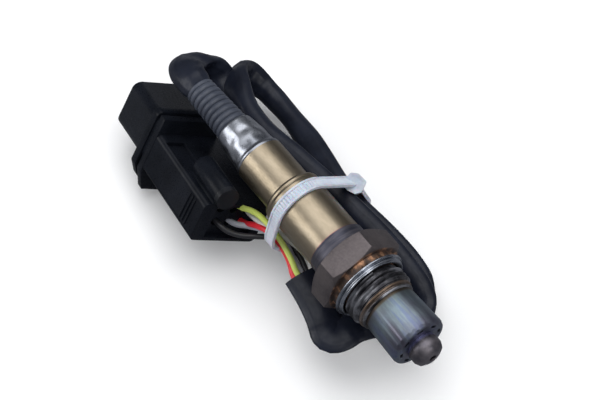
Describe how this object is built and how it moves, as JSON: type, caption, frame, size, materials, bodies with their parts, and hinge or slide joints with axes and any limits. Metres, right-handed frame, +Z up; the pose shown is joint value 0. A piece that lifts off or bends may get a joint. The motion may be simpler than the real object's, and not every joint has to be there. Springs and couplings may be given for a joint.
{
  "type": "oxygen sensor",
  "caption": "Exhaust gas sensor with threaded steel body, captive seal ring, double protection tube, corrugated boot and folded, tied cable with plug.",
  "frame": {"origin": "on the thread's axis, in the plane of the sealing ring's front face, where the thread begins", "axes": "+X along the thread's axis to the nose, +Z up with the sensor's axis level, +Y to its left when seen from behind the boot"},
  "size_m": [0.1219, 0.0508, 0.0435],
  "materials": {
    "body_steel": "turned and milled steel, brown-grey",
    "ring_steel": "bright folded steel",
    "tube_steel": "drawn stainless with a bluish heat tint",
    "nose_steel": "drawn stainless, dark",
    "shell_steel": "brushed stainless with a bronze tint",
    "collar_metal": "bright silver, hammered",
    "boot_rubber": "satin moulded rubber",
    "grommet_rubber": "moulded rubber",
    "lead_sheath": "smooth insulation",
    "contact_metal": "spring strip, plain",
    "crimp_metal": "plain",
    "ceramic_white": "fired, unglazed",
    "element_ceramic": "fired, fine",
    "talc": "pressed powder",
    "sleeve_black": "satin lay-flat tubing",
    "yellow_sheath": "smooth",
    "red_sheath": "smooth",
    "grey_sheath": "smooth",
    "white_sheath": "smooth",
    "black_sheath": "smooth",
    "housing_plastic": "fine satin moulding",
    "pin_metal": "tinned",
    "lock_plastic": "moulded",
    "seal_rubber": "moulded",
    "cap_plastic": "moulded",
    "tie_nylon": "slightly see-through nylon"
  },
  "bodies": {
    "root": {"hex_body": "body_steel", "gasket_ring": "ring_steel", "outer_tube": "tube_steel", "inner_tube": "nose_steel", "shell": "shell_steel", "crimp_collar": "collar_metal", "corrugated_boot": "boot_rubber", "wire_grommet": "grommet_rubber", "lead_ends": "lead_sheath", "crimp_terminals": "crimp_metal", "contact_springs": "contact_metal", "contact_holder": "ceramic_white", "sensing_element": "element_ceramic", "upper_ceramic_bush": "ceramic_white", "talc_packing": "talc", "lower_ceramic_bush": "ceramic_white", "cable_sleeve": "sleeve_black", "wire_yellow": "yellow_sheath", "wire_red": "red_sheath", "wire_grey": "grey_sheath", "wire_white": "white_sheath", "wire_black": "black_sheath", "connector_housing": "housing_plastic", "terminal_pins": "pin_metal", "secondary_lock": "lock_plastic", "rear_seal_cover": "housing_plastic", "wire_seals": "seal_rubber", "resistor_cap": "cap_plastic", "cable_tie": "tie_nylon"}
  },
  "joints": []
}
